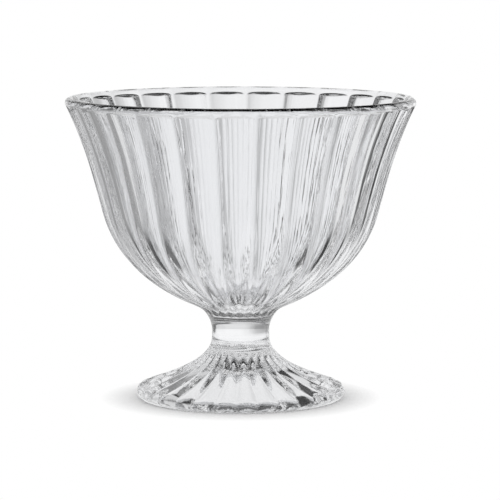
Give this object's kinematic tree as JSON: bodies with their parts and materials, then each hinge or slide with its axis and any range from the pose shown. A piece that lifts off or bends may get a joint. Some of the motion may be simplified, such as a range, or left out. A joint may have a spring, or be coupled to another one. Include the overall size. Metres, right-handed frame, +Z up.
{
  "type": "pedestal dessert bowl",
  "caption": "Clear pressed-glass pedestal dessert bowl: a flared bowl with wide flutes between narrow ribs and a rounded rim, on a waisted stem and a fluted, spreading foot.",
  "frame": {"origin": "middle of the resting face under the foot, on the axis of the dish", "axes": "+Z up along the axis of the dish, -Y towards the picture's camera, +X to its right"},
  "size_m": [0.1191, 0.1191, 0.103],
  "materials": {
    "clear_glass": "clear, colourless, fire-polished pressed glass"
  },
  "bodies": {
    "root": {"bowl": "clear_glass", "stem": "clear_glass", "foot": "clear_glass"}
  },
  "joints": []
}
